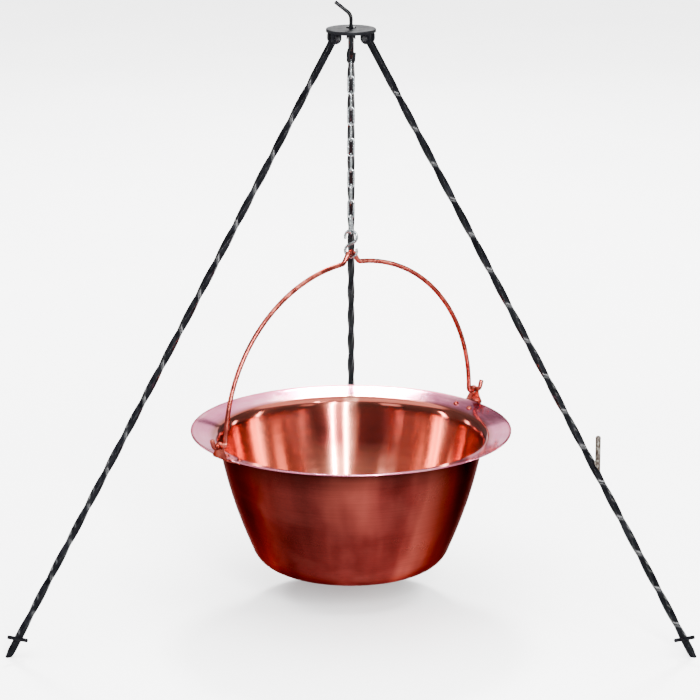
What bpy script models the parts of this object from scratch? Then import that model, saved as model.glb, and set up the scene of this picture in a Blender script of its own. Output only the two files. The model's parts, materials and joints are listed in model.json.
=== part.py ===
"""Campfire tripod with a hanging copper kettle.

World frame: metres, +Z up, the ground at z = 0, and the origin under the middle of the
whole object. The hook and chain hang on one vertical line, the tripod axis, which stands
in front of that middle because the rear leg reaches further than the two front ones.
"""
import math

import bmesh
import bpy
from mathutils import Matrix, Vector

GAP = 0.0003                    # play left between two pieces that touch

# tripod
BAR = 0.012                     # side of the square bar
HINGE_HEIGHT = 1.177
HINGE_RADIUS = 0.0385           # tripod axis to each leg hinge
FOOT_RADIUS = 0.785             # tripod axis to each foot tip
LEG_AZIMUTHS = {"left": 210, "right": -30, "rear": 90}
TWIST_STEP = 0.0792             # length of bar in a quarter turn
TWIST_QUARTERS = 16
RINGS_PER_QUARTER = 5
BAR_HEAD = 0.0065               # bar left above its hinge hole
TIP_TAPER = 0.013               # length of the taper at the foot
TIP_SIDE = 0.0088               # side of the level face a leg stands on

# head
PLATE_RADIUS = 0.0505
PLATE_THICKNESS = 0.007
PLATE_ABOVE_HINGE = 0.0090      # hinge to the underside of the plate
ROD_HOLE_RADIUS = 0.0045
EAR_HALF_WIDTH = 0.012
EAR_THICKNESS = 0.003
EAR_SLOT = BAR + 0.0008
BOLT_RADIUS = 0.003
BOLT_HOLE_RADIUS = 0.00325
HEX_RADIUS = 0.0058             # across the corners, halved
HEX_HEAD = 0.004
NUT_HEIGHT = 0.005

# pieces welded to the legs
STOP_RADIUS = 0.004
STOP_LENGTH = 0.045
STOP_ABOVE_TIP = 0.043          # along the leg
STOP_RISE = math.radians(20)
PEG_RADIUS = 0.0055
PEG_LENGTH = 0.064

# hook rod and cross pin
ROD_RADIUS = 0.004              # handle and shank
BOWL_ROD = 0.003                # radius of the same rod, drawn down round the bowl
BOWL_RADIUS = 0.006
HANDLE_SLOPE = math.radians(50)     # from the vertical
HANDLE_REACH = 0.032
HANDLE_BEND = 0.027             # above the plate
PIN_RADIUS = 0.0015
PIN_LENGTH = 0.020

# chain
LINKS = 11
WIRE = 0.004
LINK_WIDTH = 0.016
LINK_PITCH = 0.032
LINK_INNER = LINK_PITCH + GAP
LINK_BOTTOM = 1.090             # lowest point of the first link
TWISTED_FROM = 9                # the last links each turn a little after the S-hook
LINK_TWIST = math.radians(-5)

# S-hook
S_WIRE = 0.006
S_LOOP = 0.0128                 # radius of each loop's centre line
S_YAW = math.radians(-22)
BAIL_PLAY = 0.0016              # between the S-hook and the bail, whose bars cross askew

# kettle and bail
RIM_HEIGHT = 0.357
RIM_RADIUS = 0.332
FLARE_SLOPE = 0.263
WALL = 0.0015
BEAD_RADIUS = 0.0015
BASE_RADIUS = 0.138             # flat part of the bottom
BASE_DEPTH = 0.2895             # rim to bottom
BELLY = (0.2065, -0.245)        # radius and depth where the bottom curve meets the side
NECK = (0.2725, -0.028)         # radius and depth where the side turns out to the flare
FLARE_START = 0.287
KETTLE_SEGMENTS = 48
BAIL_ROD = 0.010
BAIL_YAW = math.radians(39)
PIVOT_ABOVE_RIM = 0.024
ARCH_RADIUS = 0.3225
BAIL_PEAK = 0.3510              # top of the bail's middle line above its ear holes
PEAK_HALF_WIDTH = 0.026
BAIL_BEND = 0.007               # middle-line radius of the bends at the bail's ends
EAR_PLATE = 0.0025
EAR_PLANE = 0.3385              # kettle axis to the middle of an ear's upright
EAR_BELOW = 0.0019              # flare's middle surface to the top of the ear's strip
RIVET_RADIUS = 0.003
RIVET_SPREAD = 0.021
RIVET_CIRCLE = 0.306

LEAN = math.atan2(FOOT_RADIUS - HINGE_RADIUS, HINGE_HEIGHT)
LEG_LENGTH = HINGE_HEIGHT / math.cos(LEAN)
TWIST_START = LEG_LENGTH - STOP_ABOVE_TIP - TWIST_QUARTERS * TWIST_STEP
PLATE_BOTTOM = HINGE_HEIGHT + PLATE_ABOVE_HINGE
PLATE_TOP = PLATE_BOTTOM + PLATE_THICKNESS
STOP_REACH = 0.0277             # centre of a stop bar to its outer end, past the leg
STOP_BESIDE = BAR / 2 + STOP_RADIUS + 0.0008    # leg's middle to the stop's middle
REACH = FOOT_RADIUS - STOP_ABOVE_TIP * math.sin(LEAN) + STOP_REACH
REAR_REACH = REACH + STOP_RADIUS * math.sin(STOP_RISE)
FRONT_REACH = (
    REACH / 2
    + STOP_BESIDE * math.cos(math.radians(30))
    + STOP_RADIUS * math.hypot(math.sin(STOP_RISE) / 2, math.cos(math.radians(30)))
)
AXIS_Y = (FRONT_REACH - REAR_REACH) / 2         # centres the object on the origin

BOWL_HEIGHT = LINK_BOTTOM + LINK_INNER + WIRE * 1.5 - WIRE / 2 - GAP - BOWL_ROD
PIVOT_HEIGHT = RIM_HEIGHT + PIVOT_ABOVE_RIM


def clear_scene():
    for thing in list(bpy.data.objects):
        bpy.data.objects.remove(thing, do_unlink=True)


def material(name, colour, roughness, metallic):
    made = bpy.data.materials.new(name)
    made.use_nodes = True
    shader = made.node_tree.nodes["Principled BSDF"]
    shader.inputs["Base Color"].default_value = (*colour, 1)
    shader.inputs["Roughness"].default_value = roughness
    shader.inputs["Metallic"].default_value = metallic
    return made


def add_object(name, data, finish, matrix=Matrix()):
    thing = bpy.data.objects.new(name, data)
    bpy.context.scene.collection.objects.link(thing)
    thing.matrix_world = matrix
    thing.data.materials.append(finish)
    return thing


def mesh_from(bm, name, sharp_angle=35):
    """Turn a finished bmesh into mesh data, faces outward and shaded smooth."""
    bmesh.ops.recalc_face_normals(bm, faces=bm.faces)
    mesh = bpy.data.meshes.new(name)
    bm.to_mesh(mesh)
    bm.free()
    mesh.shade_smooth()
    mesh.set_sharp_from_angle(angle=math.radians(sharp_angle))
    return mesh


def bridge_rings(rings, name):
    """Skin a list of equal rings of points and close both ends."""
    bm = bmesh.new()
    loops = [[bm.verts.new(p) for p in ring] for ring in rings]
    count = len(loops[0])
    for lower, upper in zip(loops, loops[1:]):
        for k in range(count):
            n = (k + 1) % count
            bm.faces.new((lower[k], lower[n], upper[n], upper[k]))
    bm.faces.new(loops[0])
    bm.faces.new(loops[-1])
    return mesh_from(bm, name)


def rod(name, points, radius, finish, matrix=Matrix(), closed=False, scales=None):
    """A round bar bent along the points, as a mesh that a Boolean can cut.

    Scales, one for each point, make the bar thinner or thicker along its length.
    """
    curve = bpy.data.curves.new(name, "CURVE")
    curve.dimensions = "3D"
    curve.bevel_depth = radius
    curve.bevel_resolution = 2
    curve.use_fill_caps = not closed
    spline = curve.splines.new("POLY")
    spline.points.add(len(points) - 1)
    for slot, point, scale in zip(spline.points, points, scales or [1.0] * len(points)):
        slot.co = (*point, 1)
        slot.radius = scale
    spline.use_cyclic_u = closed
    guide = bpy.data.objects.new(name + "_guide", curve)
    bpy.context.scene.collection.objects.link(guide)
    evaluated = guide.evaluated_get(bpy.context.evaluated_depsgraph_get())
    mesh = bpy.data.meshes.new_from_object(evaluated)
    bpy.data.objects.remove(guide, do_unlink=True)
    bm = bmesh.new()
    bm.from_mesh(mesh)
    bmesh.ops.remove_doubles(bm, verts=bm.verts, dist=0.00001)
    return add_object(name, mesh_from(bm, name), finish, matrix)


def cylinder_mesh(name, radius, low, high, segments=24):
    bm = bmesh.new()
    spin = [math.tau * k / segments for k in range(segments)]
    bottom = [bm.verts.new((radius * math.cos(a), radius * math.sin(a), low)) for a in spin]
    base = bm.faces.new(bottom)
    grown = bmesh.ops.extrude_face_region(bm, geom=[base])["geom"]
    top = [v for v in grown if isinstance(v, bmesh.types.BMVert)]
    bmesh.ops.translate(bm, verts=top, vec=(0, 0, high - low))
    return mesh_from(bm, name)


def cut(target, name, mesh, matrix, operation="DIFFERENCE"):
    """Cut the target with a hidden cutter that stays in the file."""
    cutter = bpy.data.objects.new(name, mesh)
    bpy.context.scene.collection.objects.link(cutter)
    cutter.matrix_world = matrix
    cutter.hide_render = True
    cutter.display_type = "WIRE"
    boolean = target.modifiers.new(name, "BOOLEAN")
    boolean.operation = operation
    boolean.solver = "EXACT"
    boolean.object = cutter


def arc(centre, radius, start, end, steps):
    """Points in the XZ plane round a centre (x, z), angles in degrees from +X."""
    spin = [math.radians(start + (end - start) * k / steps) for k in range(steps + 1)]
    return [
        Vector((centre[0] + radius * math.cos(a), 0, centre[1] + radius * math.sin(a)))
        for a in spin
    ]


def bezier(points, steps):
    """Points in the XZ plane on a Bezier curve, from (x, z) control points."""
    degree = len(points) - 1
    out = []
    for k in range(steps + 1):
        t = k / steps
        weights = [
            math.comb(degree, i) * t**i * (1 - t) ** (degree - i) for i in range(degree + 1)
        ]
        x = sum(w * p[0] for w, p in zip(weights, points))
        z = sum(w * p[1] for w, p in zip(weights, points))
        out.append(Vector((x, 0, z)))
    return out


def lathe(name, profile, segments):
    """Turn a closed profile of (r, z) points whose ends lie on the Z axis."""
    bm = bmesh.new()
    poles = [bm.verts.new((0, 0, profile[end][1])) for end in (0, -1)]
    spin = [math.tau * k / segments for k in range(segments)]
    rings = [
        [bm.verts.new((r * math.cos(a), r * math.sin(a), z)) for a in spin]
        for r, z in profile[1:-1]
    ]
    for k in range(segments):
        n = (k + 1) % segments
        bm.faces.new((poles[0], rings[0][n], rings[0][k]))
        bm.faces.new((poles[1], rings[-1][k], rings[-1][n]))
        for lower, upper in zip(rings, rings[1:]):
            bm.faces.new((lower[k], lower[n], upper[n], upper[k]))
    return mesh_from(bm, name, 30)


def on_axis(height=0.0):
    return Matrix.Translation((0, AXIS_Y, height))


def hinge_frame(azimuth):
    """X points outward, Y along the hinge bolt and Z up, at a leg's hinge."""
    turn = Matrix.Rotation(math.radians(azimuth), 4, "Z")
    return on_axis(HINGE_HEIGHT) @ turn @ Matrix.Translation((HINGE_RADIUS, 0, 0))


def leg_frame(azimuth):
    """The hinge frame leaned so that Z runs up along the bar."""
    return hinge_frame(azimuth) @ Matrix.Rotation(-LEAN, 4, "Y")


def across(matrix, offset=0.0):
    """Turn a frame so that its Z lies along the old Y, moved by an offset along it."""
    return matrix @ Matrix.Translation((0, offset, 0)) @ Matrix.Rotation(-math.pi / 2, 4, "X")


def square_ring(half, turn, heights):
    corners = [(half, half), (-half, half), (-half, -half), (half, -half)]
    c = math.cos(turn)
    s = math.sin(turn)
    return [
        (x * c - y * s, x * s + y * c, z) for (x, y), z in zip(corners, heights)
    ]


def leg_mesh():
    """A square bar: plain head, left-handed twist, then a tapered tip cut level."""
    half = BAR / 2
    rings = [square_ring(half, 0, [BAR_HEAD] * 4)]
    steps = TWIST_QUARTERS * RINGS_PER_QUARTER
    for k in range(steps + 1):
        down = TWIST_START + TWIST_STEP * k / RINGS_PER_QUARTER
        turn = -math.pi / 2 * k / RINGS_PER_QUARTER
        rings.append(square_ring(half, turn, [-down] * 4))
    rings.append(square_ring(half, 0, [-(LEG_LENGTH - TIP_TAPER)] * 4))
    tip = TIP_SIDE / 2
    level = [
        -(HINGE_HEIGHT + x * math.sin(LEAN)) / math.cos(LEAN) for x in (tip, -tip, -tip, tip)
    ]
    rings.append(square_ring(tip, 0, level))
    return bridge_rings(rings, "leg")


def make_legs(finish):
    for side, azimuth in LEG_AZIMUTHS.items():
        frame = leg_frame(azimuth)
        leg = add_object("leg_" + side, leg_mesh(), finish, frame)
        hole = cylinder_mesh("leg_hole", BOLT_HOLE_RADIUS, -BAR, BAR)
        cut(leg, "cut_leg_hole_" + side, hole, across(frame))


def make_stops(finish):
    """A short round bar welded across each leg, on the front of the two front legs."""
    for side, azimuth in LEG_AZIMUTHS.items():
        beside = STOP_BESIDE if side == "left" else -STOP_BESIDE
        at = Matrix.Translation((0, beside, -(LEG_LENGTH - STOP_ABOVE_TIP)))
        level = leg_frame(azimuth) @ at @ Matrix.Rotation(LEAN, 4, "Y")
        lie = Matrix.Rotation(math.pi / 2 - STOP_RISE, 4, "Y")
        middle = STOP_REACH / math.cos(STOP_RISE) - STOP_LENGTH / 2
        low = middle - STOP_LENGTH / 2
        stop = cylinder_mesh("foot_stop", STOP_RADIUS, low, low + STOP_LENGTH, 16)
        add_object("foot_stop_" + side, stop, finish, level @ lie)


def make_peg(finish):
    """The upright peg on the outer side of the right leg, its foot mitred to the bar."""
    quarters_down = 11
    down = TWIST_START + quarters_down * TWIST_STEP
    stand_off = BAR / math.sqrt(2) + GAP
    azimuth = LEG_AZIMUTHS["right"]
    centre = 0.0087                 # peg axis past the start of the weld line
    r = HINGE_RADIUS + down * math.sin(LEAN) + stand_off * math.cos(LEAN) + centre
    z = HINGE_HEIGHT - down * math.cos(LEAN) + stand_off * math.sin(LEAN)
    z -= centre / math.tan(LEAN)
    spin = [math.tau * k / 16 for k in range(16)]
    foot = [
        (PEG_RADIUS * math.cos(a), PEG_RADIUS * math.sin(a),
         -PEG_RADIUS * math.cos(a) / math.tan(LEAN))
        for a in spin
    ]
    rings = [foot]
    for turn in (0, 30, 60, 80):
        a = math.radians(turn)
        height = PEG_LENGTH - PEG_RADIUS + PEG_RADIUS * math.sin(a)
        reach = PEG_RADIUS * math.cos(a)
        rings.append([(reach * math.cos(b), reach * math.sin(b), height) for b in spin])
    turn = Matrix.Rotation(math.radians(azimuth), 4, "Z")
    place = on_axis(z) @ turn @ Matrix.Translation((r, 0, 0))
    add_object("side_peg", bridge_rings(rings, "side_peg"), finish, place)


def make_plate(finish):
    disc = cylinder_mesh("top_plate", PLATE_RADIUS, 0, PLATE_THICKNESS, 40)
    plate = add_object("top_plate", disc, finish, on_axis(PLATE_BOTTOM))
    hole = cylinder_mesh("rod_hole", ROD_HOLE_RADIUS, -0.01, 0.02)
    cut(plate, "cut_rod_hole", hole, on_axis(PLATE_BOTTOM))
    edge = plate.modifiers.new("edge", "BEVEL")
    edge.width = 0.0007
    edge.segments = 1
    edge.limit_method = "ANGLE"


def bracket_mesh():
    """Ear outline, flat at the top and round below the hinge, as wide as the bracket."""
    top = PLATE_ABOVE_HINGE - GAP
    outline = [Vector((EAR_HALF_WIDTH, 0, top)), Vector((-EAR_HALF_WIDTH, 0, top))]
    outline += arc((0, 0), EAR_HALF_WIDTH, 180, 360, 12)
    half = EAR_SLOT / 2 + EAR_THICKNESS
    sides = [[(p.x, y, p.z) for p in outline] for y in (-half, half)]
    return bridge_rings(sides, "bracket")


def box_mesh(name, low, high):
    rings = [
        [(low[0], low[1], z), (high[0], low[1], z), (high[0], high[1], z), (low[0], high[1], z)]
        for z in (low[2], high[2])
    ]
    return bridge_rings(rings, name)


def make_brackets(finish):
    """A U-shaped bracket for each leg: two ears joined by a web on the inner side."""
    for side, azimuth in LEG_AZIMUTHS.items():
        frame = hinge_frame(azimuth)
        bracket = add_object("bracket_" + side, bracket_mesh(), finish, frame)
        slot = box_mesh(
            "slot",
            (-EAR_HALF_WIDTH + EAR_THICKNESS, -EAR_SLOT / 2, -0.05),
            (0.05, EAR_SLOT / 2, 0.05),
        )
        cut(bracket, "cut_slot_" + side, slot, frame)
        hole = cylinder_mesh("ear_hole", BOLT_HOLE_RADIUS, -0.02, 0.02)
        cut(bracket, "cut_ear_hole_" + side, hole, across(frame))


def hex_ring(height):
    spin = [math.tau * k / 6 for k in range(6)]
    return [(HEX_RADIUS * math.cos(a), HEX_RADIUS * math.sin(a), height) for a in spin]


def make_hinge_bolts(finish):
    """One bolt and one nut for each leg, the head on the left of someone facing in."""
    face = EAR_SLOT / 2 + EAR_THICKNESS + GAP
    end = face + NUT_HEIGHT + 0.002
    for side, azimuth in LEG_AZIMUTHS.items():
        frame = across(hinge_frame(azimuth))
        head = bridge_rings([hex_ring(-face - HEX_HEAD), hex_ring(-face)], "bolt_head")
        bolt = add_object("hinge_bolt_" + side, head, finish, frame)
        shank = cylinder_mesh("shank", BOLT_RADIUS, -face - HEX_HEAD / 2, end, 24)
        cut(bolt, "join_shank_" + side, shank, frame, "UNION")
        ring = bridge_rings([hex_ring(face), hex_ring(face + NUT_HEIGHT)], "nut")
        nut = add_object("hinge_nut_" + side, ring, finish, frame)
        thread = cylinder_mesh("thread", BOLT_RADIUS + GAP, 0, 0.03, 24)
        cut(nut, "cut_thread_" + side, thread, frame)


def hook_rod_points():
    """From the bent handle end down through the plate and round the bowl to the tip."""
    bend = PLATE_TOP + HANDLE_BEND
    points = [Vector((-HANDLE_REACH, 0, bend + HANDLE_REACH / math.tan(HANDLE_SLOPE)))]
    points += bezier([(-0.006, bend + 0.006), (0, bend), (0, bend - 0.008)], 4)
    side = BOWL_RADIUS
    low = BOWL_HEIGHT + BOWL_RADIUS
    points += bezier([(0, low + 0.034), (0, low + 0.020), (-side, low + 0.026),
                      (-side, low + 0.010)], 8)
    points += arc((0, low), side, 180, 360, 10)
    points += [Vector((side + 0.0003, 0, low + 0.006)), Vector((side + 0.0015, 0, low + 0.015))]
    return points


def hook_rod_scale(point):
    """Full size down to the plate's underside and beyond, then drawn down to the bowl."""
    thick = PLATE_BOTTOM - 0.010
    thin = BOWL_HEIGHT + BOWL_RADIUS + 0.030
    share = min(max((point.z - thin) / (thick - thin), 0), 1)
    return (BOWL_ROD + (ROD_RADIUS - BOWL_ROD) * share) / ROD_RADIUS


def make_hook(finish):
    points = hook_rod_points()
    scales = [hook_rod_scale(point) for point in points]
    hook = rod("hook_rod", points, ROD_RADIUS, finish, on_axis(), scales=scales)
    rest = PLATE_TOP + PIN_RADIUS + GAP
    lie = on_axis(rest) @ Matrix.Rotation(math.pi / 2, 4, "Y")
    hole = cylinder_mesh("pin_hole", PIN_RADIUS + GAP / 2, -0.01, 0.01, 16)
    cut(hook, "cut_pin_hole", hole, lie)
    pin = cylinder_mesh("cross_pin", PIN_RADIUS, -PIN_LENGTH / 2, PIN_LENGTH / 2, 16)
    add_object("cross_pin", pin, finish, lie)


def link_points():
    """Centre line of a link in the XZ plane, with its lower crown at the origin."""
    half = (LINK_WIDTH - WIRE) / 2
    length = LINK_INNER + WIRE
    crown = arc((0, half), half, 180, 360, 8)
    return crown + arc((0, length - half), half, 0, 180, 8)


def link_yaw(number):
    """Direction of a link's plane: every other link edge-on, the last ones a little turned."""
    return math.pi / 2 * (number % 2) + LINK_TWIST * max(0, number - TWISTED_FROM + 1)


def make_chain(finish):
    """Links hang a pitch apart, each turned a quarter round from the one above."""
    for number in range(1, LINKS + 1):
        low = LINK_BOTTOM + WIRE / 2 - (number - 1) * LINK_PITCH
        place = on_axis(low) @ Matrix.Rotation(link_yaw(number), 4, "Z")
        rod(f"chain_link_{number:02d}", link_points(), WIRE / 2, finish, place, closed=True)


def s_hook_top():
    last = LINK_BOTTOM + WIRE / 2 - (LINKS - 1) * LINK_PITCH
    return last + WIRE / 2 + GAP + S_WIRE / 2


def make_s_hook(finish, peak):
    """Two open loops joined by the straight line that touches both."""
    bottom = peak - BAIL_ROD / 2 - BAIL_PLAY - S_WIRE / 2
    top = s_hook_top()
    upper = top - S_LOOP
    lower = bottom + S_LOOP
    touch = math.degrees(math.acos(2 * S_LOOP / (upper - lower)))
    points = arc((0, upper), S_LOOP, 205, -90 + touch, 12)
    points += arc((0, lower), S_LOOP, 90 + touch, 385, 12)
    rod("s_hook", points, S_WIRE / 2, finish, on_axis() @ Matrix.Rotation(S_YAW, 4, "Z"))


def bail_half():
    """Half of the bail in its own XZ plane, from the peak to the bent end at +X."""
    bend = BAIL_BEND
    top = bend + ARCH_RADIUS
    join = math.degrees(math.acos(PEAK_HALF_WIDTH / ARCH_RADIUS))
    shoulder = bend + ARCH_RADIUS * math.sin(math.radians(join))
    points = bezier([(0, BAIL_PEAK), (0.013, BAIL_PEAK), (0.013, top - 0.0008),
                     (PEAK_HALF_WIDTH, shoulder)], 8)
    points += arc((0, bend), ARCH_RADIUS, join, 0, 18)[1:]
    points += arc((ARCH_RADIUS + bend, bend), bend, 180, 270, 4)[1:]
    outer = EAR_PLANE + 0.009
    points += arc((outer, bend), bend, -90, -18, 4)
    lift = math.radians(72)
    last = points[-1]
    points.append(last + Vector((0.014 * math.cos(lift), 0, 0.014 * math.sin(lift))))
    return points


def make_bail(finish):
    half = bail_half()
    mirrored = [Vector((-p.x, 0, p.z)) for p in reversed(half[1:])]
    turn = Matrix.Rotation(BAIL_YAW, 4, "Z")
    rod("bail", mirrored + half, BAIL_ROD / 2, finish, on_axis(PIVOT_HEIGHT) @ turn)


def wall_line():
    """Middle line of the kettle's sheet, (r, z) from the bottom's centre to the rim."""
    flare = (FLARE_START, -FLARE_SLOPE * (RIM_RADIUS - BEAD_RADIUS - FLARE_START))
    curves = [
        (((BASE_RADIUS, -BASE_DEPTH), (0.192, -BASE_DEPTH), BELLY), 4),
        ((BELLY, (0.252, -0.140), NECK), 4),
        ((NECK, (0.2755, -0.0149), flare), 3),
    ]
    line = [(BASE_RADIUS, -BASE_DEPTH)]
    for corners, steps in curves:
        line += [(p.x, p.z) for p in bezier(corners, steps)][1:]
    line.append((RIM_RADIUS - BEAD_RADIUS, 0.0))
    return [(r, z + RIM_HEIGHT) for r, z in line]


def offset_line(line, distance):
    """The line moved sideways, to its left for a positive distance."""
    out = []
    for k, (r, z) in enumerate(line):
        before = line[max(k - 1, 0)]
        after = line[min(k + 1, len(line) - 1)]
        run = Vector((after[0] - before[0], after[1] - before[1])).normalized()
        out.append((r - run.y * distance, z + run.x * distance))
    return out


def kettle_profile():
    line = wall_line()
    outer = offset_line(line, -WALL / 2)
    inner = offset_line(line, WALL / 2)
    end = line[-1]
    slope = math.degrees(math.atan(FLARE_SLOPE))
    bead = [
        (end[0] + BEAD_RADIUS * math.cos(a), end[1] + BEAD_RADIUS * math.sin(a))
        for a in (math.radians(slope + t) for t in (-120, -72, -24, 24, 72, 120))
    ]
    foot = line[0][1]
    outer[0] = (outer[0][0], foot - WALL / 2)
    inner[0] = (inner[0][0], foot + WALL / 2)
    side = outer[:-1] + bead + list(reversed(inner[:-1]))
    return [(0, foot - WALL / 2)] + side + [(0, foot + WALL / 2)]


def flare_height(r):
    return RIM_HEIGHT - FLARE_SLOPE * (RIM_RADIUS - BEAD_RADIUS - r)


def ear_frame(turn):
    """X points outward at an ear and Z up, with its origin on the kettle's axis."""
    return on_axis() @ Matrix.Rotation(turn, 4, "Z")


def rivet_frame(turn, side):
    """On the flare's middle surface at a rivet, with Z square to it."""
    tilt = Matrix.Rotation(-math.atan(FLARE_SLOPE), 4, "Y")
    at = Matrix.Translation((RIVET_CIRCLE, 0, flare_height(RIVET_CIRCLE)))
    return ear_frame(turn + side * math.asin(RIVET_SPREAD / RIVET_CIRCLE)) @ at @ tilt


EAR_TURNS = {"left": BAIL_YAW + math.pi, "right": BAIL_YAW}


def make_kettle(finish):
    body = lathe("kettle", kettle_profile(), KETTLE_SEGMENTS)
    kettle = add_object("kettle", body, finish, on_axis())
    for name, turn in EAR_TURNS.items():
        for number, side in enumerate((-1, 1), 1):
            hole = cylinder_mesh("rivet_hole", RIVET_RADIUS + GAP, -0.02, 0.02, 16)
            cut(kettle, f"cut_rivet_{name}_{number}", hole, rivet_frame(turn, side))


def ear_mesh():
    """A strip bent up from under the flare: stations of (r, z, half width)."""
    under = EAR_BELOW + EAR_PLATE / 2
    inner = 0.288
    bend = EAR_PLANE - 0.005
    low = flare_height(bend) - under
    stations = [
        (inner, flare_height(inner) - under, 0.020),
        (inner + 0.006, flare_height(inner + 0.006) - under, 0.0285),
        (0.317, flare_height(0.317) - under, 0.0285),
        (bend - 0.004, flare_height(bend - 0.004) - under, 0.0245),
        (bend, low, 0.0240),
        (bend + 0.0036, low + 0.0016, 0.0236),
        (EAR_PLANE, low + 0.0060, 0.0230),
        (EAR_PLANE, PIVOT_HEIGHT - 0.004, 0.0150),
        (EAR_PLANE, PIVOT_HEIGHT + 0.003, 0.0128),
        (EAR_PLANE, PIVOT_HEIGHT + 0.007, 0.0100),
        (EAR_PLANE, PIVOT_HEIGHT + 0.0095, 0.0060),
    ]
    line = [(r, z) for r, z, width in stations]
    faces = zip(offset_line(line, -EAR_PLATE / 2), offset_line(line, EAR_PLATE / 2), stations)
    rings = []
    for out, back, (r, z, width) in faces:
        rings.append([(out[0], -width, out[1]), (out[0], width, out[1]),
                      (back[0], width, back[1]), (back[0], -width, back[1])])
    return bridge_rings(rings, "ear")


def make_ears(finish):
    for name, turn in EAR_TURNS.items():
        ear = add_object("ear_" + name, ear_mesh(), finish, ear_frame(turn))
        bore = cylinder_mesh("bail_hole", BAIL_ROD / 2 + 0.0004, -0.02, 0.02, 24)
        at = Matrix.Translation((EAR_PLANE, 0, PIVOT_HEIGHT))
        lie = Matrix.Rotation(math.pi / 2, 4, "Y")
        cut(ear, "cut_bail_hole_" + name, bore, ear_frame(turn) @ at @ lie)
        for number, side in enumerate((-1, 1), 1):
            hole = cylinder_mesh("ear_rivet_hole", RIVET_RADIUS + GAP, -0.02, 0.01, 16)
            cut(ear, f"cut_ear_rivet_{name}_{number}", hole, rivet_frame(turn, side))


def rivet_mesh():
    """A shank with a domed head above the flare and a flat one under the ear."""
    above = WALL / 2 + 0.0005
    below = -(EAR_BELOW + EAR_PLATE + 0.0007)
    head = 0.0058
    profile = [(0, below - 0.0016), (0.0045, below - 0.0016), (0.0052, below)]
    profile += [(RIVET_RADIUS, below), (RIVET_RADIUS, above), (head, above)]
    for turn in (20, 45, 70):
        a = math.radians(turn)
        profile.append((head * math.cos(a), above + 0.0032 * math.sin(a)))
    profile.append((0, above + 0.0032))
    return lathe("rivet", profile, 16)


def make_rivets(finish):
    for name, turn in EAR_TURNS.items():
        for number, side in enumerate((-1, 1), 1):
            add_object(f"rivet_{name}_{number}", rivet_mesh(), finish, rivet_frame(turn, side))


def build():
    clear_scene()
    black = material("black_paint", (0.016, 0.017, 0.019), 0.42, 0.0)
    head = material("dark_paint", (0.030, 0.031, 0.034), 0.50, 0.0)
    zinc = material("zinc_plate", (0.36, 0.39, 0.41), 0.38, 1.0)
    copper = material("copper_sheet", (0.72, 0.27, 0.16), 0.24, 1.0)
    copper_rod = material("copper_rod", (0.80, 0.31, 0.18), 0.30, 1.0)
    bare = material("bare_steel", (0.30, 0.26, 0.21), 0.55, 1.0)
    make_plate(head)
    make_brackets(head)
    make_hinge_bolts(head)
    make_legs(black)
    make_stops(black)
    make_peg(bare)
    make_hook(black)
    make_chain(zinc)
    make_s_hook(zinc, PIVOT_HEIGHT + BAIL_PEAK)
    make_bail(copper_rod)
    make_kettle(copper)
    make_ears(copper_rod)
    make_rivets(copper_rod)


build()
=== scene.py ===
"""Looks for a campfire tripod with a hanging copper kettle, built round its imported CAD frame.

Every mesh is made in the frame's own world coordinates, in metres, with its object at the
origin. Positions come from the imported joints, mounts and node boxes.
"""
import json
import math

import bmesh
import bpy
from mathutils import Matrix, Vector, noise


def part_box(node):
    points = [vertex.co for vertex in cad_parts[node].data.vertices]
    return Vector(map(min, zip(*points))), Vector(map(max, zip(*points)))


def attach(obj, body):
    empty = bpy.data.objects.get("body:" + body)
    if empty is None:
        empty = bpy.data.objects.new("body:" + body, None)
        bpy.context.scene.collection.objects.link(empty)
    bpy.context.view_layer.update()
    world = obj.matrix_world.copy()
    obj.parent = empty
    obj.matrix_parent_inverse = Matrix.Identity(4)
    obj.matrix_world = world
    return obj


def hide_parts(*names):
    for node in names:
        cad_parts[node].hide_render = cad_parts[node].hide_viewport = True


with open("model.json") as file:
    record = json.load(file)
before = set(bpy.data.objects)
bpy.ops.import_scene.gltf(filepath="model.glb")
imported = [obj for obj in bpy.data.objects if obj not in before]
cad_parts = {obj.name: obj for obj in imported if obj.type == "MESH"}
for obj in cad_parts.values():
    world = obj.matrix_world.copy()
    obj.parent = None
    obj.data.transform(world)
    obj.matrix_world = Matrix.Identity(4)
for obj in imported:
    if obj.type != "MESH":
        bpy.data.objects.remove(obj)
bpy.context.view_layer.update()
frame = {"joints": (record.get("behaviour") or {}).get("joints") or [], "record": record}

SIDES = ("left", "right", "rear")

# sizes that the frame doesn't name
BAR = 0.012                     # side of the square bar
BAR_EDGE = 0.0011               # radius of the bar's worn edges
TWIST_STEP = 0.0792             # length of bar in a quarter turn
TWIST_QUARTERS = 16
RINGS_PER_QUARTER = 14
BAR_HEAD = 0.0065               # bar above its hinge hole
TIP_TAPER = 0.013               # length of the leg's tapered tip
TIP_SIDE = 0.0088               # side of the tip's level end
PLATE_RADIUS = 0.0505
ROD_HOLE_RADIUS = 0.0045
EAR_HALF_WIDTH = 0.012
EAR_THICKNESS = 0.003
EAR_SLOT = BAR + 0.0008
BOLT_RADIUS = 0.003
GAP = 0.0003                    # play round the bolts and at the faces that only rest
BOLT_HOLE = BOLT_RADIUS + GAP
HEX_RADIUS = 0.0058
HEX_HEAD = 0.004
NUT_HEIGHT = 0.005
THREAD_PITCH = 0.001
STOP_RADIUS = 0.004
STOP_LENGTH = 0.045
STOP_ABOVE_TIP = 0.043
STOP_RISE = math.radians(20)
STOP_REACH = 0.0277
STOP_BESIDE = BAR / 2 + STOP_RADIUS + 0.0008
PEG_RADIUS = 0.0055
ROD_RADIUS = 0.004
BOWL_ROD = 0.003                # radius of the hook rod drawn down round its bowl
BOWL_RADIUS = 0.006
HANDLE_SLOPE = math.radians(50)
HANDLE_REACH = 0.032
HANDLE_BEND = 0.027             # from the plate's top up to the handle's bend
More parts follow.
